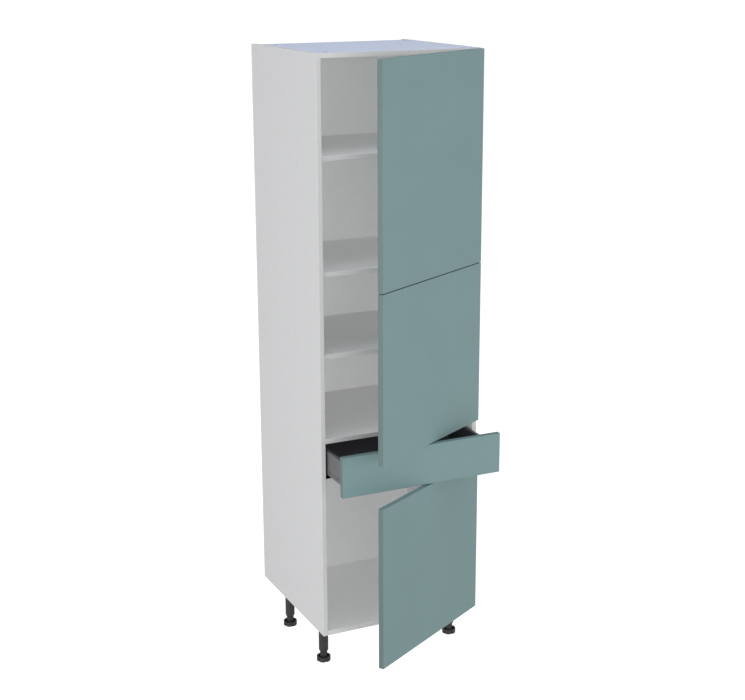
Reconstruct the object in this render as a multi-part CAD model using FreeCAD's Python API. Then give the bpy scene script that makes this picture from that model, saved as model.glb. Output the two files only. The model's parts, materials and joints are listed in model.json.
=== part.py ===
import FreeCAD, Part
import math
import os

# Tall pantry cabinet: a rigid carcass on four levelling legs, three hinged doors and one drawer.
# Millimetres. +Z is up, the front faces -Y, +X is the hinge side.
# The origin is on the floor, under the middle of the carcass's width and depth.
# Sub-parts are drawn with the cabinet shut, then the doors and the drawer are set to their rest pose.

Vector = FreeCAD.Vector
UP = Vector(0, 0, 1)

# Carcass
WIDTH = 600.0
DEPTH = 570.0
CARCASS_HEIGHT = 2010.0
LEG_HEIGHT = 148.0
BOARD = 16.0
TOP_DEPTH = 530.0            # top and bottom stop short of the wall: the rest is the service space
BACK_SETBACK = 508.0         # front edge of the carcass to the back panel
BACK_THICK = 8.0
GROOVE = 7.0                 # depth of the grooves that hold the back panel
EDGE_ROUNDING = 0.8          # front edges of the carcass boards and shelves

# Shelves, as heights above the underside of the carcass
DECK_TOP = 726.0
SHELF_TOPS = {"lower_shelf": 1021.0, "middle_shelf": 1301.0, "upper_shelf": 1683.5}
SHELF_SETBACK = 8.0
SHELF_DEPTH = 492.0
SHELF_SIDE_GAP = 1.5
PIN_RADIUS = 2.5
PIN_ROWS = (45.0, 440.0)     # distance of the two rows of pin holes from the front edge
PIN_PITCH = 32.0
PIN_HOLE_DEPTH = 11.0

# Fronts, from the bottom up
FRONT_HEIGHTS = (("lower_door", 570.0), ("drawer_front", 141.0),
                 ("middle_door", 568.0), ("top_door", 719.0))
FRONT_WIDTH = 596.0
FRONT_THICK = 19.0
FRONT_MARGIN = 1.5           # above the highest front and below the lowest
FRONT_REVEAL = 3.0           # between two fronts
FRONT_ROUNDING = 1.0
CLOSING_GAP = 2.0            # between a shut front and the carcass

# Rest pose
DOOR_ANGLE = 29.7
DRAWER_TRAVEL = 150.0

# Concealed hinges. Their parts are drawn about the axis that the door swings on.
AXIS_FROM_EDGE = 6.5
AXIS_FROM_FACE = 4.8
HINGE_FROM_END = 100.0
CUP_RADIUS = 17.5
CUP_WALL = 1.0
CUP_DEPTH = 12.5
CUP_FROM_EDGE = 22.5
FLANGE = 1.2
FLANGE_RADIUS = 19.0
CUP_SCREW_OFFSET = 6.0
CUP_SCREW_HALF_PITCH = 24.0
STRIP = 1.7                  # thickness of the curved arms
STRIP_INNER = 16.4           # inner radius of the innermost curved arm
STRIP_STEP = 2.1             # from one curved arm to the next
ARM_LENGTH = 75.0
ARM_HALF_WIDTH = 8.0
ARM_SHEET = 1.5
PLATE_SETBACK = 37.0         # carcass front to the plate's two screws
PLATE_HALF_PITCH = 16.0

# Drawer
SIDE_GAP = 7.0
SIDE_THICK = 12.5
SIDE_BOTTOM = 598.0
SIDE_HEIGHT = 85.0
DRAWER_DEPTH = 482.0
LEDGE = 2.0
BASE_THICK = 12.0
RAIL_BOTTOM = 584.0
RAIL_SHEET = 1.5
RAIL_LENGTH = 480.0
RAIL_REACH = 26.0            # inner face of the drawer side to the inner edge of the cabinet rail

# Legs
LEG_X = 256.0
LEG_SETBACKS = (106.0, 424.0)
TUBE_RADIUS = 17.2
TUBE_BORE = 13.05
TUBE_BOTTOM = 36.0
TUBE_CHAMFER = 6.0
STEM_RADIUS = 13.0
STEM_TOP = 100.0
FOOT_RADIUS = 24.9
FOOT_HEIGHT = 16.5
FOOT_WALL = 4.9
FOOT_WEB = (5.5, 8.5)        # underside and top of the web inside the foot
FOOT_BOSS = 6.0
NOTCHES = 6
NOTCH_WIDTH = 6.0
NOTCH_HEIGHT = 12.5
NOTCH_DEPTH = 3.3
NOTCH_TURN = 24.0            # angle from +X to the first notch
SOCKET_PLATE = 3.5

# Derived places
FRONT_Y = -DEPTH / 2
UNDERSIDE = LEG_HEIGHT
CARCASS_TOP = UNDERSIDE + CARCASS_HEIGHT
INNER_X = WIDTH / 2 - BOARD
BACK_Y = FRONT_Y + BACK_SETBACK
DOOR_BACK = FRONT_Y - CLOSING_GAP
DOOR_FACE = DOOR_BACK - FRONT_THICK
HINGE_EDGE = FRONT_WIDTH / 2
HINGE_X = HINGE_EDGE - AXIS_FROM_EDGE
HINGE_Y = DOOR_FACE + AXIS_FROM_FACE
HINGE_AXIS = Vector(HINGE_X, HINGE_Y, 0)
DECK_BOTTOM = UNDERSIDE + DECK_TOP - BOARD
SIDE_OUTER = INNER_X - SIDE_GAP
SIDE_INNER = SIDE_OUTER - SIDE_THICK
BOARD_LEVELS = {"bottom_panel": UNDERSIDE, "drawer_deck": DECK_BOTTOM, "top_panel": CARCASS_TOP - BOARD}

nodes = {}


# --- basic solids -----------------------------------------------------------------------------

def box(x0, x1, y0, y1, z0, z1):
    return Part.makeBox(x1 - x0, y1 - y0, z1 - z0, Vector(x0, y0, z0))


def rod(radius, start, end):
    direction = end - start
    return Part.makeCylinder(radius, direction.Length, start, direction)


def rod_x(radius, x0, x1, y, z):
    return rod(radius, Vector(x0, y, z), Vector(x1, y, z))


def rod_y(radius, x, y0, y1, z):
    return rod(radius, Vector(x, y0, z), Vector(x, y1, z))


def rod_z(radius, x, y, z0, z1):
    return rod(radius, Vector(x, y, z0), Vector(x, y, z1))


def fuse(first, *others):
    return first.multiFuse(list(others)).removeSplitter()


def mirrored(shape):
    return shape.mirror(Vector(0, 0, 0), Vector(1, 0, 0))


def both_sides(solids):
    return solids + [mirrored(solid) for solid in solids]


def group(name, solids):
    nodes[name] = Part.makeCompound(solids)


def eased(board):
    """The board with the two long edges of its front rounded a little."""
    front = board.BoundBox.YMin
    edges = [edge for edge in board.Edges
             if edge.BoundBox.YMax < front + 0.01 and edge.Length > 2 * BOARD]
    return board.makeFillet(EDGE_ROUNDING, edges)


# --- carcass ----------------------------------------------------------------------------------

CAM_RADIUS = 7.5
CAM_DEPTH = 12.5
CAM_FROM_SIDE = 34.0
CAM_SETBACKS = (37.0, 470.0)
CAM_BOLT_RADIUS = 3.0
CAM_BOLT_IN_SIDE = 10.0
DOWEL_RADIUS = 4.0
DOWEL_SETBACKS = (69.0, 438.0)
DOWEL_IN_BOARD = 22.0
DOWEL_IN_SIDE = 10.0


def cam(x, y, level, faces_up):
    """Round cam, let in flush with one face of a board, with a cross slot for the driver."""
    face = level + BOARD if faces_up else level
    inwards = -1 if faces_up else 1
    disc = rod_z(CAM_RADIUS, x, y, face, face + inwards * CAM_DEPTH)
    low, high = sorted((face, face + inwards * 1.5))
    slot = box(x - 4.5, x + 4.5, y - 0.7, y + 0.7, low, high)
    cross_slot = slot.copy().rotate(Vector(x, y, 0), UP, 90)
    return disc.cut([slot, cross_slot] + cam_bolts_at(level))


def cams_at(level, faces_up):
    """The right half of a board's cams."""
    return [cam(INNER_X - CAM_FROM_SIDE, FRONT_Y + setback, level, faces_up) for setback in CAM_SETBACKS]


def cam_bolts_at(level):
    """Bolts in the right side panel, with their heads inside the cams."""
    start = INNER_X - CAM_FROM_SIDE + 1.0
    return [rod_x(CAM_BOLT_RADIUS, start, INNER_X + CAM_BOLT_IN_SIDE, FRONT_Y + setback, level + BOARD / 2)
            for setback in CAM_SETBACKS]


def dowels_at(level):
    return [rod_x(DOWEL_RADIUS, INNER_X - DOWEL_IN_BOARD, INNER_X + DOWEL_IN_SIDE,
                  FRONT_Y + setback, level + BOARD / 2) for setback in DOWEL_SETBACKS]


def cam_pockets_at(level, faces_up):
    face = level + BOARD if faces_up else level
    inwards = -1 if faces_up else 1
    return [rod_z(CAM_RADIUS, INNER_X - CAM_FROM_SIDE, FRONT_Y + setback, face, face + inwards * CAM_DEPTH)
            for setback in CAM_SETBACKS]


def horizontal_board(level, depth, faces_up):
    """Board between the side panels, drilled for its cams, bolts and dowels."""
    board = eased(box(-INNER_X, INNER_X, FRONT_Y, FRONT_Y + depth, level, level + BOARD))
    drillings = cam_pockets_at(level, faces_up) + cam_bolts_at(level) + dowels_at(level)
    return board.cut(both_sides(drillings))


def back_panel():
    reach = INNER_X + GROOVE
    return box(-reach, reach, BACK_Y, BACK_Y + BACK_THICK,
               UNDERSIDE + BOARD - GROOVE, CARCASS_TOP - BOARD + GROOVE)


def shelf(top):
    reach = INNER_X - SHELF_SIDE_GAP
    front = FRONT_Y + SHELF_SETBACK
    return eased(box(-reach, reach, front, front + SHELF_DEPTH, top - BOARD, top))


def shelf_pin(y, z):
    """Plug-in support: a shank in the side panel, a thin collar and a peg under the shelf."""
    shank = rod_x(PIN_RADIUS, INNER_X, INNER_X + PIN_HOLE_DEPTH, y, z)
    collar = rod_x(PIN_RADIUS + 1.2, INNER_X - 1.2, INNER_X, y, z)
    peg = rod_x(PIN_RADIUS, INNER_X - 10, INNER_X - 1.2, y, z)
    return fuse(shank, collar, peg)


def pin_places():
    return [(FRONT_Y + row, UNDERSIDE + top - BOARD - PIN_RADIUS)
            for top in SHELF_TOPS.values() for row in PIN_ROWS]


def pin_holes():
    """Each shelf can move up or down by two holes."""
    return [rod_x(PIN_RADIUS, INNER_X, INNER_X + PIN_HOLE_DEPTH, y, z + step * PIN_PITCH)
            for y, z in pin_places() for step in range(-2, 3)]


WALL_BRACKET_Z = UNDERSIDE + 1900.0
WALL_BRACKET_HEIGHT = 60.0
WALL_BRACKET_SHEET = 2.0
WALL_BRACKET_WIDTH = 42.0
WALL_BRACKET_DEPTH = 50.0
WALL_HOLE_RADIUS = 3.5
WALL_HOLE_X = INNER_X - 24.0


def bracket_screw_places():
    return [(FRONT_Y + DEPTH - 30, WALL_BRACKET_Z + height) for height in (15.0, 45.0)]


def wood_screw_x(radius, head_x, y, z, depth):
    """Pan-head screw driven towards +X; head_x is the face that its head rests on."""
    head = rod_x(radius * 1.9, head_x - 1.8, head_x, y, z)
    socket = rod_x(radius * 0.8, head_x - 1.8, head_x - 0.8, y, z)
    return fuse(head, rod_x(radius, head_x, head_x + depth, y, z)).cut(socket)


def wall_bracket():
    """Angle of sheet steel in the service space: one leg on the side panel, one against the wall."""
    wall = FRONT_Y + DEPTH
    low, high = WALL_BRACKET_Z, WALL_BRACKET_Z + WALL_BRACKET_HEIGHT
    side_leg = box(INNER_X - WALL_BRACKET_SHEET, INNER_X, wall - WALL_BRACKET_DEPTH, wall, low, high)
    wall_leg = box(INNER_X - WALL_BRACKET_WIDTH, INNER_X, wall - WALL_BRACKET_SHEET, wall, low, high)
    hole = rod_y(WALL_HOLE_RADIUS, WALL_HOLE_X, wall - 5, wall + 5, WALL_BRACKET_Z + WALL_BRACKET_HEIGHT / 2)
    screw_holes = [rod_x(2, INNER_X - 5, INNER_X + 5, y, z) for y, z in bracket_screw_places()]
    return fuse(side_leg, wall_leg).cut([hole] + screw_holes)


def bracket_screws():
    return [wood_screw_x(2, INNER_X - WALL_BRACKET_SHEET, y, z, 14) for y, z in bracket_screw_places()]


def side_panel(extra_drillings):
    """Right-hand side panel with the groove for the back and every drilling."""
    panel = eased(box(INNER_X, WIDTH / 2, FRONT_Y, FRONT_Y + DEPTH, UNDERSIDE, CARCASS_TOP))
    drillings = [back_panel()] + pin_holes() + bracket_screws() + rail_screws()
    for level in BOARD_LEVELS.values():
        drillings += cam_bolts_at(level) + dowels_at(level)
    return panel.cut(drillings + extra_drillings)


def make_carcass():
    back = back_panel()
    levels = BOARD_LEVELS
    nodes["top_panel"] = horizontal_board(levels["top_panel"], TOP_DEPTH, True).cut(back)
    nodes["bottom_panel"] = horizontal_board(levels["bottom_panel"], TOP_DEPTH, False).cut(leg_drillings() + [back])
    nodes["drawer_deck"] = horizontal_board(levels["drawer_deck"], BACK_SETBACK, False)
    nodes["back_panel"] = back
    nodes["right_side_panel"] = side_panel(plate_screws())
    nodes["left_side_panel"] = mirrored(side_panel([]))
    for name, top in SHELF_TOPS.items():
        nodes[name] = shelf(UNDERSIDE + top)
    group("shelf_pins", both_sides([shelf_pin(y, z) for y, z in pin_places()]))
    right_cams = [solid for name, level in levels.items() for solid in cams_at(level, name == "top_panel")]
    group("cam_fittings", both_sides(right_cams))
    group("cam_bolts", both_sides([solid for level in levels.values() for solid in cam_bolts_at(level)]))
    group("wooden_dowels", both_sides([solid for level in levels.values() for solid in dowels_at(level)]))
    group("wall_brackets", both_sides([wall_bracket()]))
    group("wall_bracket_screws", both_sides(bracket_screws()))


# --- legs -------------------------------------------------------------------------------------

def leg_places():
    return {f"{depth}_{side}_foot": Vector(x, FRONT_Y + setback, 0)
            for depth, setback in zip(("front", "rear"), LEG_SETBACKS)
            for side, x in (("left", -LEG_X), ("right", LEG_X))}


SOCKET_HALF = 29.0
SOCKET_SCREW = 22.0
SPIGOT_LENGTH = 22.0


def leg_socket(place):
    """Square plate under the carcass with a spigot that the leg tube pushes onto."""
    plate = box(place.x - SOCKET_HALF, place.x + SOCKET_HALF, place.y - SOCKET_HALF, place.y + SOCKET_HALF,
                UNDERSIDE - SOCKET_PLATE, UNDERSIDE)
    upright = [edge for edge in plate.Edges if edge.BoundBox.ZLength > SOCKET_PLATE / 2]
    plate = plate.makeFillet(8, upright)
    bottom = UNDERSIDE - SOCKET_PLATE - SPIGOT_LENGTH
    spigot = rod_z(TUBE_BORE, place.x, place.y, bottom, UNDERSIDE)
    hollow = rod_z(TUBE_BORE - 2.5, place.x, place.y, bottom, UNDERSIDE - 2)
    return fuse(plate, spigot).cut([hollow] + socket_screws(place))


def socket_screws(place):
    """Two screws on one diagonal, heads below the plate."""
    screws = []
    for sign in (-1, 1):
        x, y = place.x + sign * SOCKET_SCREW, place.y + sign * SOCKET_SCREW
        plate_face = UNDERSIDE - SOCKET_PLATE
        head = rod_z(3.8, x, y, plate_face - 1.8, plate_face)
        screws.append(fuse(head, rod_z(2, x, y, plate_face, UNDERSIDE + 12)))
    return screws


def leg_drillings():
    return [screw for place in leg_places().values() for screw in socket_screws(place)]


def leg_tube(place):
    """Tube with a tapered lower end, bored for the stem of the foot."""
    top = UNDERSIDE - SOCKET_PLATE
    taper_top = TUBE_BOTTOM + TUBE_CHAMFER
    straight = rod_z(TUBE_RADIUS, place.x, place.y, taper_top, top)
    taper = Part.makeCone(TUBE_BORE + 1.2, TUBE_RADIUS, TUBE_CHAMFER, Vector(place.x, place.y, TUBE_BOTTOM), UP)
    bore = rod_z(TUBE_BORE, place.x, place.y, TUBE_BOTTOM - 1, top + 1)
    return fuse(straight, taper).cut(bore)


def foot(place):
    """Foot: a round wall with grip notches, a web inside it, and a stem that screws into the tube."""
    web_bottom, web_top = FOOT_WEB
    inside = FOOT_RADIUS - FOOT_WALL
    disc = rod_z(FOOT_RADIUS, place.x, place.y, 0, FOOT_HEIGHT)
    dish = rod_z(inside, place.x, place.y, web_top, FOOT_HEIGHT)
    hollow = rod_z(inside, place.x, place.y, 0, web_bottom)
    boss = rod_z(FOOT_BOSS, place.x, place.y, 0, web_bottom)
    stem = rod_z(STEM_RADIUS, place.x, place.y, web_top - 1, STEM_TOP)
    notch = box(place.x + FOOT_RADIUS - NOTCH_DEPTH, place.x + FOOT_RADIUS + 1,
                place.y - NOTCH_WIDTH / 2, place.y + NOTCH_WIDTH / 2, -1, NOTCH_HEIGHT)
    notches = [notch.copy().rotate(place, UP, NOTCH_TURN + step * 360 / NOTCHES) for step in range(NOTCHES)]
    return fuse(disc.cut([dish, hollow] + notches), boss, stem)


def make_legs():
    places = leg_places()
    group("leg_sockets", [leg_socket(place) for place in places.values()])
    group("leg_socket_screws", leg_drillings())
    group("leg_tubes", [leg_tube(place) for place in places.values()])
    for name, place in places.items():
        nodes[name] = foot(place)


# --- fronts -----------------------------------------------------------------------------------

def front_levels():
    """Lowest and highest point of each front."""
    levels = {}
    z = UNDERSIDE + FRONT_MARGIN
    for name, height in FRONT_HEIGHTS:
        levels[name] = (z, z + height)
        z += height + FRONT_REVEAL
    return levels


def front_board(low, high):
    """Board with the four edges of its face rounded."""
    board = box(-FRONT_WIDTH / 2, FRONT_WIDTH / 2, DOOR_FACE, DOOR_BACK, low, high)
    face_edges = [edge for edge in board.Edges if abs(edge.BoundBox.YMax - DOOR_FACE) < 0.01]
    return board.makeFillet(FRONT_ROUNDING, face_edges)


BUMPER_RADIUS = 4.5
BUMPER_THICK = 1.7


def bumper(x, z):
    """Clear stick-on buffer on the back of a front."""
    return rod_y(BUMPER_RADIUS, x, DOOR_BACK, DOOR_BACK + BUMPER_THICK, z)


# --- concealed hinges -------------------------------------------------------------------------
# u and v are distances from the swing axis: u towards +X, v towards the wall.

def hinge_box(u0, u1, v0, v1, z0, z1):
    return box(HINGE_X + u0, HINGE_X + u1, HINGE_Y + v0, HINGE_Y + v1, z0, z1)


def hinge_rod_u(radius, u0, u1, v, z):
    return rod_x(radius, HINGE_X + u0, HINGE_X + u1, HINGE_Y + v, z)


def hinge_rod_v(radius, u, v0, v1, z):
    return rod_y(radius, HINGE_X + u, HINGE_Y + v0, HINGE_Y + v1, z)


DOOR_BACK_V = FRONT_THICK - AXIS_FROM_FACE
CUP_U = AXIS_FROM_EDGE - CUP_FROM_EDGE
PANEL_U = INNER_X - HINGE_X
PLATE_V = FRONT_Y + PLATE_SETBACK - HINGE_Y
ARM_TOP_U = PANEL_U - 12.0
ARM_FRONT_V = DOOR_BACK_V + 2.6
PLATE_SHEET = 2.0
ARM_SCREW_SETBACKS = (20.0, 58.0)


def curved_arm(step, first_angle, last_angle, half_width, z):
    """Strip bent about the swing axis; step 0 is the innermost of the three."""
    inner = STRIP_INNER + step * STRIP_STEP
    sweep = last_angle - first_angle
    base = Vector(HINGE_X, HINGE_Y, z - half_width)
    outside = Part.makeCylinder(inner + STRIP, 2 * half_width, base, UP, sweep)
    inside = Part.makeCylinder(inner, 2 * half_width, base, UP, sweep)
    return outside.cut(inside).rotate(HINGE_AXIS, UP, first_angle)


def hinge_levels(door):
    low, high = front_levels()[door]
    return (low + HINGE_FROM_END, high - HINGE_FROM_END)


def cup_screw_places(z):
    return [(CUP_U - CUP_SCREW_OFFSET, z + sign * CUP_SCREW_HALF_PITCH) for sign in (-1, 1)]


def cup_screws(z):
    screws = []
    for u, screw_z in cup_screw_places(z):
        flange_face = DOOR_BACK_V + FLANGE
        head = hinge_rod_v(3.5, u, flange_face, flange_face + 1.2, screw_z)
        shank = hinge_rod_v(1.8, u, DOOR_BACK_V - 11, flange_face, screw_z)
        screws.append(fuse(head, shank))
    return screws


def hinge_cup(z):
    """Cup let into the door, its screwed flange and the innermost curved arm."""
    bottom = DOOR_BACK_V - CUP_DEPTH
    flange_face = DOOR_BACK_V + FLANGE
    cup = hinge_rod_v(CUP_RADIUS, CUP_U, bottom, DOOR_BACK_V, z)
    flange = hinge_rod_v(FLANGE_RADIUS, CUP_U, DOOR_BACK_V, flange_face, z)
    ears = [hinge_rod_v(6, u, DOOR_BACK_V, flange_face, screw_z) for u, screw_z in cup_screw_places(z)]
    ear_u = CUP_U - CUP_SCREW_OFFSET
    web = hinge_box(ear_u - 6, ear_u + 6, DOOR_BACK_V, flange_face,
                    z - CUP_SCREW_HALF_PITCH, z + CUP_SCREW_HALF_PITCH)
    hollow = hinge_rod_v(CUP_RADIUS - CUP_WALL, CUP_U, bottom + CUP_WALL, flange_face + 1, z)
    shell = fuse(cup, flange, web, *ears).cut([hollow] + cup_screws(z))
    return fuse(shell, curved_arm(0, 118, 173, 6.5, z))


def cup_pockets(door):
    pockets = []
    for z in hinge_levels(door):
        pockets.append(hinge_rod_v(CUP_RADIUS, CUP_U, DOOR_BACK_V - CUP_DEPTH, DOOR_BACK_V + 1, z))
        pockets += cup_screws(z)
    return pockets


def hinge_link(z):
    """Middle curved arm, which turns half as far as the door."""
    return curved_arm(1, 116, 169, 5, z)


def hinge_arm(z):
    """Pressed channel over the mounting plate, with the outer curved arm at its nose."""
    low, high = z - ARM_HALF_WIDTH, z + ARM_HALF_WIDTH
    rear_v = ARM_FRONT_V + ARM_LENGTH
    open_u = PANEL_U - 4.5
    channel = hinge_box(ARM_TOP_U, open_u, ARM_FRONT_V, rear_v, low, high)
    bends = [edge for edge in channel.Edges
             if edge.BoundBox.XMax < HINGE_X + ARM_TOP_U + 0.01 and edge.BoundBox.YLength > ARM_LENGTH / 2]
    channel = channel.makeFillet(ARM_SHEET, bends)
    hollow = hinge_box(ARM_TOP_U + ARM_SHEET, open_u, ARM_FRONT_V + ARM_SHEET, rear_v,
                       low + ARM_SHEET, high - ARM_SHEET)
    nose = hinge_box(ARM_TOP_U + 1, PANEL_U - 1.1, ARM_FRONT_V, ARM_FRONT_V + 6, low + ARM_SHEET, high - ARM_SHEET)
    clearance = rod_z(STRIP_INNER + 2 * STRIP_STEP, HINGE_X, HINGE_Y, low, high)
    arm = fuse(channel.cut(hollow), nose, curved_arm(2, 113, 166, 6.5, z))
    return arm.cut([clearance] + arm_screws(z))


def arm_screws(z):
    """Adjusting screw and fixing screw through the channel into the plate."""
    screws = []
    for setback in ARM_SCREW_SETBACKS:
        v = ARM_FRONT_V + setback
        head = hinge_rod_u(3.6, ARM_TOP_U - 1.2, ARM_TOP_U, v, z)
        socket = hinge_rod_u(1.8, ARM_TOP_U - 1.2, ARM_TOP_U - 0.4, v, z)
        screws.append(fuse(head, hinge_rod_u(2, ARM_TOP_U, ARM_TOP_U + 6, v, z)).cut(socket))
    return screws


def hinge_plate(z):
    """Cross-shaped plate on the side panel with a rib inside the arm."""
    face = PANEL_U - PLATE_SHEET
    stem = hinge_box(face, PANEL_U, PLATE_V - 25, PLATE_V + 36, z - 9, z + 9)
    wing = hinge_box(face, PANEL_U, PLATE_V - 8, PLATE_V + 8, z - PLATE_HALF_PITCH, z + PLATE_HALF_PITCH)
    ends = [hinge_rod_u(8, face, PANEL_U, PLATE_V, z + sign * PLATE_HALF_PITCH) for sign in (-1, 1)]
    rib = hinge_box(ARM_TOP_U + ARM_SHEET, face, PLATE_V - 23, PLATE_V + 34, z - 5, z + 5)
    return fuse(stem, wing, rib, *ends).cut(screws_of_plate(z) + arm_screws(z))


def screws_of_plate(z):
    face = HINGE_X + PANEL_U - PLATE_SHEET
    return [wood_screw_x(2.5, face, HINGE_Y + PLATE_V, z + sign * PLATE_HALF_PITCH, 13) for sign in (-1, 1)]


DOORS = ("top_door", "middle_door", "lower_door")


def plate_screws():
    return [screw for door in DOORS for z in hinge_levels(door) for screw in screws_of_plate(z)]


def turned(shape, angle):
    return shape.copy().rotate(HINGE_AXIS, UP, angle)


def make_doors():
    for door in DOORS:
        low, high = front_levels()[door]
        levels = hinge_levels(door)
        side = door.split("_")[0]
        bumpers = [bumper(-INNER_X - BOARD / 2, z) for z in (low + 30, high - 30)]
        screws = [screw for z in levels for screw in cup_screws(z)]
        nodes[f"{door}_panel"] = turned(front_board(low, high).cut(cup_pockets(door)), DOOR_ANGLE)
        group(f"{side}_hinge_cups", [turned(hinge_cup(z), DOOR_ANGLE) for z in levels])
        group(f"{side}_cup_screws", [turned(screw, DOOR_ANGLE) for screw in screws])
        group(f"{side}_door_bumpers", [turned(solid, DOOR_ANGLE) for solid in bumpers])
        group(f"{side}_hinge_links", [turned(hinge_link(z), DOOR_ANGLE / 2) for z in levels])
        group(f"{side}_hinge_arms", [hinge_arm(z) for z in levels])
        group(f"{side}_hinge_plates", [hinge_plate(z) for z in levels])
    all_levels = [z for door in DOORS for z in hinge_levels(door)]
    group("hinge_screws", plate_screws() + [screw for z in all_levels for screw in arm_screws(z)])


# --- drawer -----------------------------------------------------------------------------------

SIDE_LOW = UNDERSIDE + SIDE_BOTTOM
SIDE_HIGH = SIDE_LOW + SIDE_HEIGHT
DRAWER_FRONT_Y = DOOR_BACK
DRAWER_REAR_Y = DOOR_BACK + DRAWER_DEPTH
BASE_LOW = SIDE_LOW + LEDGE
RAIL_LOW = UNDERSIDE + RAIL_BOTTOM
RAIL_FRONT_Y = FRONT_Y + 2.0
RAIL_SCREW_SETBACKS = (37.0, 261.0, 453.0)
RAIL_SCREW_Z = RAIL_LOW + 44.0
BRACKET_LOW = SIDE_LOW + 27.0
BRACKET_HIGH = SIDE_LOW + 72.0
BRACKET_SHEET = 2.0
BRACKET_WIDTH = 26.5


def drawer_side():
    """Right-hand metal side: double wall, inner ledge for the base, line pressed low in its outer face."""
    wall = box(SIDE_INNER, SIDE_OUTER, DRAWER_FRONT_Y, DRAWER_REAR_Y, SIDE_LOW, SIDE_HIGH)
    top_edges = [edge for edge in wall.Edges
                 if edge.BoundBox.ZMin > SIDE_HIGH - 0.01 and edge.BoundBox.YLength > DRAWER_DEPTH / 2]
    wall = wall.makeFillet(1.5, top_edges)
    ledge = box(SIDE_INNER - 14, SIDE_INNER, DRAWER_FRONT_Y, DRAWER_REAR_Y, SIDE_LOW, SIDE_LOW + LEDGE)
    front_skin = box(SIDE_OUTER, SIDE_OUTER + 0.6, DRAWER_FRONT_Y, DRAWER_FRONT_Y + 89, SIDE_LOW + 2, SIDE_HIGH - 2)
    line = box(SIDE_OUTER - 1, SIDE_OUTER + 1, DRAWER_FRONT_Y, DRAWER_REAR_Y, SIDE_LOW + 14, SIDE_LOW + 16)
    return fuse(wall, ledge, front_skin).cut(line)


def drawer_base():
    return box(-SIDE_INNER, SIDE_INNER, DRAWER_FRONT_Y, DRAWER_REAR_Y, BASE_LOW, BASE_LOW + BASE_THICK)


def drawer_back():
    back = box(-SIDE_INNER, SIDE_INNER, DRAWER_REAR_Y - SIDE_THICK, DRAWER_REAR_Y,
               BASE_LOW + BASE_THICK, SIDE_HIGH)
    top_edges = [edge for edge in back.Edges
                 if edge.BoundBox.ZMin > SIDE_HIGH - 0.01 and edge.BoundBox.XLength > SIDE_INNER]
    return back.makeFillet(1.5, top_edges)


def front_bracket_screws():
    """Screws through the right-hand bracket into the drawer front."""
    screws = []
    face = DRAWER_FRONT_Y + BRACKET_SHEET
    x = SIDE_INNER - 15
    for z in (BRACKET_LOW + 12, BRACKET_HIGH - 12):
        head = rod_y(3.8, x, face, face + 1.6, z)
        screws.append(fuse(head, rod_y(2, x, face - 14, face, z)))
    return screws


def front_bracket():
    """Angle in the corner between the drawer side and the drawer front."""
    plate = box(SIDE_INNER - BRACKET_WIDTH, SIDE_INNER, DRAWER_FRONT_Y, DRAWER_FRONT_Y + BRACKET_SHEET,
                BRACKET_LOW, BRACKET_HIGH)
    leg = box(SIDE_INNER - BRACKET_SHEET, SIDE_INNER, DRAWER_FRONT_Y, DRAWER_FRONT_Y + 40,
              BRACKET_LOW, BRACKET_HIGH)
    return fuse(plate, leg).cut(front_bracket_screws())


def rail_screws():
    y_places = [FRONT_Y + setback for setback in RAIL_SCREW_SETBACKS]
    return [wood_screw_x(2, INNER_X - RAIL_SHEET, y, RAIL_SCREW_Z, 12) for y in y_places]


def cabinet_rail():
    """Outer member of the runner: floor, upright flange on the side panel, inner lip."""
    rear = RAIL_FRONT_Y + RAIL_LENGTH
    inner = SIDE_INNER - RAIL_REACH
    floor = box(inner, INNER_X, RAIL_FRONT_Y, rear, RAIL_LOW, RAIL_LOW + RAIL_SHEET)
    flange = box(INNER_X - RAIL_SHEET, INNER_X, RAIL_FRONT_Y, rear, RAIL_LOW, RAIL_LOW + 56)
    lip = box(inner, inner + RAIL_SHEET, RAIL_FRONT_Y, rear, RAIL_LOW, RAIL_LOW + 6)
    return fuse(floor, flange, lip).cut(rail_screws())


def middle_rail():
    """Middle member: an open channel that travels half as far as the drawer."""
    x0, x1 = SIDE_INNER - 23.0, SIDE_INNER - 6.0
    low, high = RAIL_LOW + 2.2, RAIL_LOW + 8.2
    channel = box(x0, x1, RAIL_FRONT_Y + 4, RAIL_FRONT_Y + 476, low, high)
    hollow = box(x0 + RAIL_SHEET, x1 - RAIL_SHEET, RAIL_FRONT_Y + 4, RAIL_FRONT_Y + 476, low + RAIL_SHEET, high)
    return channel.cut(hollow)


def drawer_rail():
    """Inner member: a strip under the drawer side with a rib in the middle member."""
    x0, x1 = SIDE_INNER - 20.5, SIDE_INNER + 6.0
    strip = box(x0, x1, RAIL_FRONT_Y + 2, RAIL_FRONT_Y + 476, SIDE_LOW - 3.5, SIDE_LOW)
    rib = box(x0 + 2, x0 + 10, RAIL_FRONT_Y + 2, RAIL_FRONT_Y + 476, RAIL_LOW + 4.6, SIDE_LOW - 3.5)
    return fuse(strip, rib)


def pulled_out(shape, share=1.0):
    moved = shape.copy()
    moved.translate(Vector(0, -DRAWER_TRAVEL * share, 0))
    return moved


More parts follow.
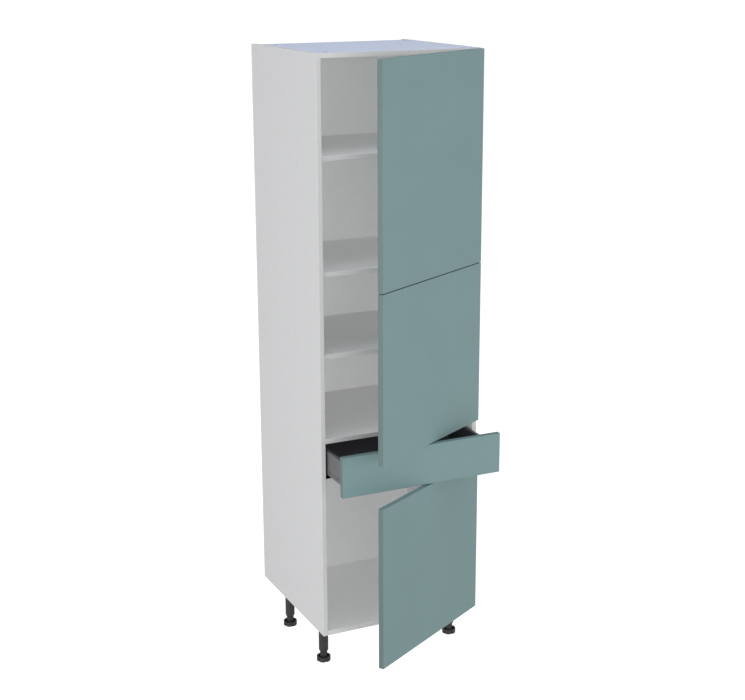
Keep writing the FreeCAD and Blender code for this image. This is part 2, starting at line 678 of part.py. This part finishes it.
def make_drawer():
    low, high = front_levels()["drawer_front"]
    screws = both_sides(front_bracket_screws())
    nodes["drawer_front"] = pulled_out(front_board(low, high).cut(screws))
    nodes["drawer_base"] = pulled_out(drawer_base())
    nodes["drawer_back"] = pulled_out(drawer_back())
    for side, place in (("right", lambda shape: shape), ("left", mirrored)):
        nodes[f"drawer_{side}_side"] = pulled_out(place(drawer_side()))
        nodes[f"drawer_{side}_rail"] = pulled_out(place(drawer_rail()))
        nodes[f"{side}_middle_rail"] = pulled_out(place(middle_rail()), 0.5)
        nodes[f"{side}_cabinet_rail"] = place(cabinet_rail())
    group("drawer_front_brackets", [pulled_out(solid) for solid in both_sides([front_bracket()])])
    group("drawer_front_screws", [pulled_out(screw) for screw in screws])
    bumpers = both_sides([bumper(INNER_X + BOARD / 2, (low + high) / 2)])
    group("drawer_bumpers", [pulled_out(solid) for solid in bumpers])
    group("rail_screws", both_sides(rail_screws()))


# --- build ------------------------------------------------------------------------------------

make_carcass()
make_legs()
make_doors()
make_drawer()

os.makedirs("parts", exist_ok=True)
for name, shape in nodes.items():
    shape.exportStep(f"parts/{name}.step")
print(len(nodes), "nodes,", sum(len(shape.Solids) for shape in nodes.values()), "solids")
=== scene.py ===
import bpy
import json
import math
from mathutils import Matrix, Vector

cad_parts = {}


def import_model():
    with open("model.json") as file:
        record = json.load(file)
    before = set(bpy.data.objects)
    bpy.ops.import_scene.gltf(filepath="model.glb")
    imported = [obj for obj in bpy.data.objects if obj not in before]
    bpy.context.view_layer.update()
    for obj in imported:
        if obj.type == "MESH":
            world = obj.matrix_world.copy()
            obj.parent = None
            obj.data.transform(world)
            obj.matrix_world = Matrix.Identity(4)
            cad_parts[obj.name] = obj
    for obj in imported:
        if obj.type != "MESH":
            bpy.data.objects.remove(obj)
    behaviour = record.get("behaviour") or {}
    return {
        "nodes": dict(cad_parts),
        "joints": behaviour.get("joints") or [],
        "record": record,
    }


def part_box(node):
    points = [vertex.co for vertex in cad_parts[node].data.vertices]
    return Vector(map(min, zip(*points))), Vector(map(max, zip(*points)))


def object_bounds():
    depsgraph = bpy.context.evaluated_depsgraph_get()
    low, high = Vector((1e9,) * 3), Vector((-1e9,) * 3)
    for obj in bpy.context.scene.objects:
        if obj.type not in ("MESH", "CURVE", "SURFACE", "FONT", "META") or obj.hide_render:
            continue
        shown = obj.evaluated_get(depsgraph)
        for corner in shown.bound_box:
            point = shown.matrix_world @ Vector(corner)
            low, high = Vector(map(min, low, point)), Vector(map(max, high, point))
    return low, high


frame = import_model()
cad_low, cad_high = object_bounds()

MM = 0.001

# --- places and directions taken from the frame -----------------------------------------------

FRONT_CORNER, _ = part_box("left_side_panel")
FRONT_Y = FRONT_CORNER.y
UNDERSIDE = FRONT_CORNER.z
JOINTS = {joint["name"]: joint for joint in frame["joints"]}
DOORS = ("top_door", "middle_door", "lower_door")
OUT_OF_FRONT = Vector((0, -1, 0))
UP = Vector((0, 0, 1))
# The way that the inner face of each metal part of the drawer points; that face is painted darker,
# as painted shade
DRAWER_INWARDS = {
    "drawer_left_side": (1, 0, 0),
    "drawer_right_side": (-1, 0, 0),
    "drawer_back": (0, -1, 0),
}


def door_outwards(door):
    """The way a door's face points at rest: each door is closed at its lower limit."""
    opened = -math.radians(JOINTS[f"{door}_hinge"]["range_deg"][0])
    return Matrix.Rotation(opened, 3, "Z") @ OUT_OF_FRONT


# --- colours ----------------------------------------------------------------------------------

def linear(red, green, blue):
    """Linear colour from an sRGB one given as 0 to 255."""
    def channel(value):
        value /= 255
        return value / 12.92 if value <= 0.04045 else ((value + 0.055) / 1.055) ** 2.4
    return (channel(red), channel(green), channel(blue), 1.0)


def grey(level):
    return (level, level, level, 1.0)


def scaled(colour, factor):
    return tuple(c * factor for c in colour[:3]) + (1.0,)


WHITE = linear(225, 225, 225)
BAND = linear(220, 220, 218)
TEAL = linear(122, 150, 151)
# Teal a little darker for the fronts' upright and lower edges: painted shade
TEAL_SHADED_EDGE = linear(103, 125, 124)
ANTHRACITE = linear(108, 108, 110)
# Darker anthracite for the drawer's inner faces: painted shade
ANTHRACITE_SHADED_INNER = linear(60, 64, 66)
DRAWER_BLACK = linear(58, 58, 64)
RUNNER_BLACK = linear(34, 34, 35)
LEG_BLACK = linear(54, 54, 53)
NICKEL = linear(206, 205, 202)
ZINC = linear(140, 140, 143)
BEECH_DARK = linear(176, 132, 88)
BEECH_LIGHT = linear(208, 170, 124)
CLEAR_DARK = linear(214, 218, 218)
CLEAR_LIGHT = linear(230, 233, 233)

# --- node helpers -----------------------------------------------------------------------------

# A noise seldom leaves its middle values, so a ramp runs over these
NARROW = (0.35, 0.65)
WIDE = (0.3, 0.7)


def new_material(name):
    material = bpy.data.materials.new(name)
    material.use_nodes = True
    return material, material.node_tree, material.node_tree.nodes["Principled BSDF"]


def connect(tree, node, inputs):
    """Sets a node's sockets, each to a constant or to a link from another node's socket."""
    for key, value in inputs.items():
        if isinstance(value, bpy.types.NodeSocket):
            tree.links.new(value, node.inputs[key])
        else:
            node.inputs[key].default_value = value


def add(tree, kind, inputs=None, **settings):
    """Adds a node and sets its properties before its sockets, which depend on them."""
    node = tree.nodes.new(kind)
    for key, value in settings.items():
        setattr(node, key, value)
    connect(tree, node, inputs or {})
    return node


def place(tree):
    """Coordinates in metres that stay with the piece."""
    return add(tree, "ShaderNodeTexCoord").outputs["Object"]


def stretched(tree, scale):
    """Coordinates for a pattern with its own scale along each axis."""
    return add(tree, "ShaderNodeMapping", {"Vector": place(tree), "Scale": scale}).outputs["Vector"]


def noise(tree, coordinates, scale, detail=2.0, roughness=0.5):
    inputs = {"Vector": coordinates, "Scale": scale, "Detail": detail, "Roughness": roughness}
    return add(tree, "ShaderNodeTexNoise", inputs).outputs["Fac"]


def ramp(tree, value, low, high, start=0.0, end=1.0):
    """Colour from low to high as value goes from start to end."""
    node = add(tree, "ShaderNodeValToRGB", {"Fac": value})
    for element, position, colour in zip(node.color_ramp.elements, (start, end), (low, high)):
        element.position = position
        element.color = colour
    return node.outputs["Color"]


def varied(tree, value, colour, low, high, values=WIDE):
    """A colour that goes from low to high times itself as value goes over the given values."""
    return ramp(tree, value, scaled(colour, low), scaled(colour, high), *values)


def span(tree, value, low, high):
    """Maps 0..1 to low..high."""
    inputs = {"Value": value, "To Min": low, "To Max": high}
    return add(tree, "ShaderNodeMapRange", inputs).outputs["Result"]


def bump(tree, height, distance, strength, normal=None):
    inputs = {"Height": height, "Distance": distance, "Strength": strength}
    if normal is not None:
        inputs["Normal"] = normal
    return add(tree, "ShaderNodeBump", inputs).outputs["Normal"]


def facing(tree, direction):
    """1 where the piece's own surface points along a direction at rest, 0 elsewhere."""
    normal = add(tree, "ShaderNodeTexCoord").outputs["Normal"]
    along = add(tree, "ShaderNodeVectorMath", {0: normal, 1: tuple(direction)},
                operation="DOT_PRODUCT").outputs["Value"]
    return add(tree, "ShaderNodeMapRange", {"Value": along, "From Min": 0.6, "From Max": 0.8},
               interpolation_type="SMOOTHSTEP").outputs["Result"]


def either(tree, first, second):
    """The sum of two shares that are never both 1."""
    return add(tree, "ShaderNodeMath", {0: first, 1: second}, operation="ADD").outputs["Value"]


def mixed(tree, share, first, second):
    """Colour that goes from first to second as share goes from 0 to 1."""
    inputs = {"Factor": share, "A": first, "B": second}
    return add(tree, "ShaderNodeMix", inputs, data_type="RGBA").outputs["Result"]


# --- materials --------------------------------------------------------------------------------

def melamine(name, colour, band=None, roughness=0.42):
    """Melamine-faced board with a faint pearl texture, and a plain band on its front edge."""
    material, tree, shader = new_material(name)
    at = place(tree)
    mottle = noise(tree, at, scale=30.0, detail=3.0)
    face = varied(tree, mottle, colour, 0.992, 1.008, NARROW)
    if band is not None:
        streak = noise(tree, at, scale=120.0)
        edge = varied(tree, streak, band, 0.985, 1.015, NARROW)
        face = mixed(tree, facing(tree, OUT_OF_FRONT), face, edge)
    pearl = noise(tree, at, scale=900.0, roughness=0.6)
    connect(tree, shader, {
        "Base Color": face,
        "Roughness": span(tree, pearl, roughness - 0.05, roughness + 0.06),
        "Normal": bump(tree, pearl, distance=0.03 * MM, strength=0.5),
    })
    return material


def lacquer(name, colour, shaded_edge_colour, outwards):
    """Matt lacquered front with a fine orange peel.

    Everywhere but on the face and the top edge its colour is a little darker: painted shade on the
    upright and lower edges.
    """
    material, tree, shader = new_material(name)
    at = place(tree)
    cloud = noise(tree, at, scale=5.0)
    face = varied(tree, cloud, colour, 0.985, 1.015, NARROW)
    # The edges' darker colour is painted shade; the face and the top edge keep the face colour
    edge = varied(tree, cloud, shaded_edge_colour, 0.98, 1.02, NARROW)
    face_colour_share = either(tree, facing(tree, outwards), facing(tree, UP))
    peel = noise(tree, at, scale=420.0, roughness=0.55)
    grain = noise(tree, at, scale=2600.0, detail=1.0)
    peeled = bump(tree, peel, distance=0.04 * MM, strength=0.35)
    connect(tree, shader, {
        "Base Color": mixed(tree, face_colour_share, edge, face),
        "Roughness": span(tree, peel, 0.42, 0.52),
        "Normal": bump(tree, grain, distance=0.01 * MM, strength=0.4, normal=peeled),
    })
    return material


def moulded_plastic(name, colour):
    material, tree, shader = new_material(name)
    at = place(tree)
    blotch = noise(tree, at, scale=60.0, detail=3.0)
    spark = noise(tree, at, scale=1800.0, roughness=0.7)
    connect(tree, shader, {
        "Base Color": varied(tree, blotch, colour, 0.85, 1.15),
        "Roughness": span(tree, spark, 0.38, 0.53),
        "Normal": bump(tree, spark, distance=0.05 * MM, strength=0.6),
    })
    return material


def powder_coat(name, colour, roughness=0.4, shaded_inner=None, inwards=None):
    """Powder-coated steel. On a part of the drawer the inner face is painted darker, as painted
    shade.
    """
    material, tree, shader = new_material(name)
    at = place(tree)
    cloud = noise(tree, at, scale=25.0)
    coat = varied(tree, cloud, colour, 0.93, 1.07)
    if shaded_inner is not None:
        # The inner face's darker colour is painted shade
        painted_shade = varied(tree, cloud, shaded_inner, 0.93, 1.07)
        coat = mixed(tree, facing(tree, inwards), coat, painted_shade)
    grain = noise(tree, at, scale=1500.0, roughness=0.6)
    connect(tree, shader, {
        "Base Color": coat,
        "Roughness": span(tree, grain, roughness - 0.06, roughness + 0.08),
        "Normal": bump(tree, grain, distance=0.04 * MM, strength=0.6),
    })
    return material


def metal(name, colour, scale, roughness):
    """Nickel or zinc plate over rolled or cast steel, whose lines or grain show faintly."""
    material, tree, shader = new_material(name)
    lines = noise(tree, stretched(tree, scale), scale=1.0, detail=3.0, roughness=0.6)
    connect(tree, shader, {
        "Base Color": varied(tree, lines, colour, 0.9, 1.06),
        "Metallic": 1.0,
        "Roughness": span(tree, lines, roughness - 0.06, roughness + 0.1),
        "Normal": bump(tree, lines, distance=0.01 * MM, strength=0.5),
    })
    return material


def beech(name):
    """Beech whose fibres run along the dowel."""
    material, tree, shader = new_material(name)
    along = stretched(tree, (30.0, 420.0, 420.0))
    fibres = noise(tree, along, scale=1.0, detail=4.0, roughness=0.6)
    connect(tree, shader, {
        "Base Color": ramp(tree, fibres, BEECH_DARK, BEECH_LIGHT, start=0.35, end=0.7),
        "Roughness": 0.6,
        "Normal": bump(tree, fibres, distance=0.05 * MM, strength=0.6),
    })
    return material


def clear_buffer(name):
    """Soft clear plastic, slightly hazy."""
    material, tree, shader = new_material(name)
    haze = noise(tree, place(tree), scale=500.0)
    connect(tree, shader, {
        "Base Color": ramp(tree, haze, CLEAR_DARK, CLEAR_LIGHT),
        "Roughness": span(tree, haze, 0.18, 0.3),
        "Transmission Weight": 0.5,
        "IOR": 1.46,
    })
    return material


SLOT_MATERIALS = {
    "carcass": melamine("white_melamine", WHITE, band=BAND),
    "steel": metal("nickel_plate", NICKEL, scale=(60.0, 60.0, 1600.0), roughness=0.27),
    "cam": metal("zinc_casting", ZINC, scale=(300.0, 300.0, 300.0), roughness=0.45),
    "dowel": beech("beech"),
    "leg_plastic": moulded_plastic("black_plastic", LEG_BLACK),
    "drawer_metal": powder_coat("anthracite_coat", ANTHRACITE),
    "drawer_board": melamine("black_melamine", DRAWER_BLACK, roughness=0.5),
    "runner": powder_coat("black_coat", RUNNER_BLACK, roughness=0.35),
    "clear_buffer": clear_buffer("clear_buffer"),
}
NODE_MATERIALS = {
    f"{door}_panel": lacquer(f"grey_green_{door}", TEAL, TEAL_SHADED_EDGE, door_outwards(door))
    for door in DOORS
}
NODE_MATERIALS["drawer_front"] = lacquer("grey_green_drawer", TEAL, TEAL_SHADED_EDGE, OUT_OF_FRONT)
NODE_MATERIALS["back_panel"] = melamine("white_back", WHITE)
# Each metal part of the drawer gets its inner face painted darker, as painted shade
for node, inwards in DRAWER_INWARDS.items():
    NODE_MATERIALS[node] = powder_coat(f"{node}_coat", ANTHRACITE, shaded_inner=ANTHRACITE_SHADED_INNER,
                                       inwards=inwards)


def paint_nodes():
    """Gives every CAD node its own material if it has one, else its slot's."""
    for part in frame["record"]["subparts"]:
        name = part["node"]
        materials = frame["nodes"][name].data.materials
        materials.clear()
        materials.append(NODE_MATERIALS.get(name) or SLOT_MATERIALS[part["material_slot"]])


# --- surroundings -----------------------------------------------------------------------------

FLOOR_SIZE = 400.0
# The middle of the cabinet, which the lamps are aimed at
MIDDLE = (0, 0, 1.1)

# Width and height of the lamps, in metres
LIGHT_BOX = (3.0, 2.4)
OVERHEAD_BOX = (3.5, 3.5)
FILL_LAMP = (0.3, 0.3)

WHITE_LIGHT = (1, 1, 1)
COOL_LIGHT = (0.975, 0.98, 1.0)
SKY_LIGHT = (0.85, 0.9, 1.0)
BLUE_LIGHT = (0.0, 0.26, 1.0)

# Degrees to the right of straight ahead, above the horizon and round the line of sight
CAMERA_AZIMUTH = 25.35
CAMERA_ELEVATION = -15.35
CAMERA_ROLL = -0.22
CAMERA_PLACE = (-2.125, FRONT_Y - 4.2604, UNDERSIDE + 2.3137)
# Millimetres
CAMERA_LENS = 69.90
CAMERA_SENSOR = 36.0


def cast_and_seen(tree, cast, seen):
    """One strength for the light that is cast on the object, another for what is seen directly."""
    direct = add(tree, "ShaderNodeLightPath").outputs["Is Camera Ray"]
    return span(tree, direct, cast, seen)


def floor():
    """White floor that runs out past the horizon and glows a little, as a lit studio sweep does."""
    bpy.ops.mesh.primitive_plane_add(size=FLOOR_SIZE, location=(0, 0, cad_low[2]))
    plane = bpy.context.object
    plane.name = "floor"
    material, tree, shader = new_material("pale_floor")
    soft = noise(tree, place(tree), scale=3.0)
    connect(tree, shader, {
        "Base Color": ramp(tree, soft, grey(0.29), grey(0.31)),
        "Roughness": 0.9,
        "Specular IOR Level": 0.0,
        "Emission Color": grey(1.0),
        "Emission Strength": cast_and_seen(tree, cast=0.4, seen=1.0),
    })
    plane.data.materials.append(material)


def world():
    """White where it is seen, a dim even light on the object."""
    sky = bpy.data.worlds.new("studio")
    bpy.context.scene.world = sky
    sky.use_nodes = True
    tree = sky.node_tree
    connect(tree, tree.nodes["Background"], {
        "Color": grey(1.0),
        "Strength": cast_and_seen(tree, cast=0.3, seen=1.0),
    })


def area_light(name, location, size, power, colour=WHITE_LIGHT, target=MIDDLE):
    """Rectangular lamp that isn't itself seen by the camera."""
    data = bpy.data.lights.new(name, "AREA")
    data.shape = "RECTANGLE"
    data.size, data.size_y = size
    data.energy = power
    data.color = colour
    lamp = bpy.data.objects.new(name, data)
    bpy.context.scene.collection.objects.link(lamp)
    lamp.location = location
    sight = Vector(target) - Vector(location)
    lamp.rotation_euler = sight.to_track_quat("-Z", "Y").to_euler()
    lamp.visible_camera = False
    return lamp


def group(name, pieces):
    collection = bpy.data.collections.new(name)
    for piece in pieces:
        collection.objects.link(piece)
    return collection


def fill(name, location, power, lit, colour=WHITE_LIGHT, target=MIDDLE):
    """Shadowless light for a few nodes, most of them inside, which the light boxes hardly reach.

    It reaches them through all the other nodes, because only the floor can stop it.
    """
    linking = area_light(name, location, FILL_LAMP, power, colour, target).light_linking
    linking.receiver_collection = group(f"lit_by_{name}", [frame["nodes"][node] for node in lit])
    linking.blocker_collection = group(f"stops_{name}", [bpy.data.objects["floor"]])


def fill_from_front(node, ahead, above, power):
    """Fill for a level board, from above and ahead of its front edge, which gets the most of it."""
    low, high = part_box(node)
    middle = (low + high) / 2
    fill(f"{node}_fill", (middle.x, low.y - ahead, high.z + above), power, [node], target=middle)


def lights():
    area_light("left_box", (-5.5, -1.8, 1.3), LIGHT_BOX, power=123, colour=COOL_LIGHT)
    area_light("front_left_box", (-0.9, -5.8, 1.6), LIGHT_BOX, power=70)
    area_light("front_right_box", (4.0, -4.2, 1.6), LIGHT_BOX, power=78)
    area_light("overhead", (0, -0.6, 5.5), OVERHEAD_BOX, power=80, colour=SKY_LIGHT)
    fill("top_fill", (0, 0, 21), power=845, lit=["top_panel"], colour=BLUE_LIGHT)
    fill("back_fill", (0, -4.5, 0.5), power=58, lit=["back_panel"])
    fill("edge_fill", (0, -4.5, 1.1), power=16,
         lit=["left_side_panel", "right_side_panel", "top_panel"])
    fill("right_fill", (-20, 0, 1.1), power=380, lit=["right_side_panel"])
    fill("top_edge_fill", (1.2, -1.5, 2.15), power=1.9, lit=["top_panel"])
    fill("drawer_front_fill", (-0.9, -1.2, 0.5), power=0.65, lit=["drawer_front"],
         target=(0, -0.45, 0.8))
    fill("middle_door_fill", (0.49, -0.65, 0.75), power=0.11, lit=["middle_door_panel"],
         target=(0.25, -0.3, 0.9))
    fill_from_front("lower_shelf", ahead=0.7, above=1.25, power=4.4)
    fill_from_front("middle_shelf", ahead=0.7, above=1.25, power=5.3)
    fill_from_front("upper_shelf", ahead=0.7, above=1.25, power=4.9)
    fill_from_front("drawer_base", ahead=0.7, above=1.25, power=7.0)
    fill_from_front("drawer_deck", ahead=0.2, above=0.65, power=1.4)
    fill_from_front("bottom_panel", ahead=0.5, above=1.3, power=6.8)


def camera():
    """Seen from the front left and a little above, through a long lens."""
    azimuth = math.radians(CAMERA_AZIMUTH)
    elevation = math.radians(CAMERA_ELEVATION)
    data = bpy.data.cameras.new("camera")
    data.sensor_width = CAMERA_SENSOR
    data.lens = CAMERA_LENS
    viewer = bpy.data.objects.new("camera", data)
    bpy.context.scene.collection.objects.link(viewer)
    viewer.location = CAMERA_PLACE
    ahead = Vector((math.sin(azimuth) * math.cos(elevation),
                    math.cos(azimuth) * math.cos(elevation),
                    math.sin(elevation)))
    roll = Matrix.Rotation(math.radians(CAMERA_ROLL), 3, "Z")
    viewer.rotation_euler = (ahead.to_track_quat("-Z", "Y").to_matrix() @ roll).to_euler()
    bpy.context.scene.camera = viewer


paint_nodes()
floor()
world()
lights()
camera()
bpy.context.scene.view_settings.view_transform = "Standard"
